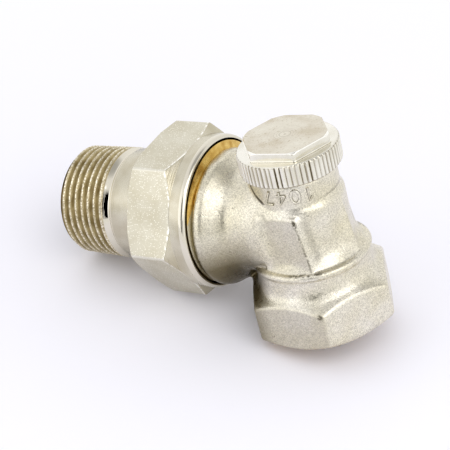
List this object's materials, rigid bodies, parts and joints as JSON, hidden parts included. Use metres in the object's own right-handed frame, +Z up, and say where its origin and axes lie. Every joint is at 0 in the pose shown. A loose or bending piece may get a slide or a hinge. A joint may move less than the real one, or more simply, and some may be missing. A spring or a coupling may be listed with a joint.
{
  "type": "manual radiator valve",
  "caption": "Angle radiator valve in nickel-plated brass: hexagon female inlet, capped regulating spindle above it, and a union nut with a male-threaded tail at a right angle.",
  "frame": {"origin": "centre of the inlet mouth, in the plane of the inlet face", "axes": "+Z up the common axis of inlet, spindle and cap; +X along the outlet towards the end of the tail; +Y completes a right-handed frame"},
  "size_m": [0.0779, 0.0402, 0.0463],
  "materials": {
    "forged_nickel": "hot-forged brass, grit blasted and nickel plated",
    "turned_nickel": "machined brass, nickel plated",
    "bare_brass": "machined brass, unplated",
    "seal_rubber": "moulded EPDM"
  },
  "bodies": {
    "valve_body": {"valve_body": "forged_nickel", "bonnet": "bare_brass", "bonnet_o_ring": "seal_rubber", "stem_o_ring_lower": "seal_rubber", "stem_o_ring_upper": "seal_rubber"},
    "disc": {"disc_holder": "bare_brass", "seat_washer": "seal_rubber", "washer_screw": "bare_brass"},
    "spindle": {"spindle": "bare_brass"},
    "cap_gasket": {"cap_gasket": "seal_rubber"},
    "cap": {"cap": "turned_nickel"},
    "tail": {"union_tail": "turned_nickel", "tail_o_ring": "seal_rubber"},
    "nut": {"union_nut": "turned_nickel"}
  },
  "joints": [
    {"name": "disc_lift", "type": "slide", "parent": "valve_body", "child": "disc", "axis": [0, 0, 1], "range_m": [0, 0.0036]},
    {"name": "spindle_turn", "type": "hinge", "parent": "disc", "child": "spindle", "pos_m": [0, 0, 0.0335], "axis": [0, 0, 1], "range_deg": [0, 1081]},
    {"name": "cap_lift", "type": "slide", "parent": "valve_body", "child": "cap_gasket", "axis": [0, 0, 1], "range_m": [0, 0.006]},
    {"name": "cap_turn", "type": "hinge", "parent": "cap_gasket", "child": "cap", "pos_m": [0, 0, 0.0415], "axis": [0, 0, 1], "range_deg": [0, 2161]},
    {"name": "tail_draw", "type": "slide", "parent": "valve_body", "child": "tail", "axis": [1, 0, 0], "range_m": [0, 0.0097]},
    {"name": "nut_turn", "type": "hinge", "parent": "tail", "child": "nut", "pos_m": [0.028, 0, 0.025], "axis": [1, 0, 0], "range_deg": [0, 1513]}
  ],
  "couplings": [
    {"joint": "spindle_turn", "follows": "disc_lift", "rad_per_m": 5236},
    {"joint": "cap_turn", "follows": "cap_lift", "rad_per_m": 6283.2},
    {"joint": "nut_turn", "follows": "tail_draw", "rad_per_m": 2721.2}
  ]
}
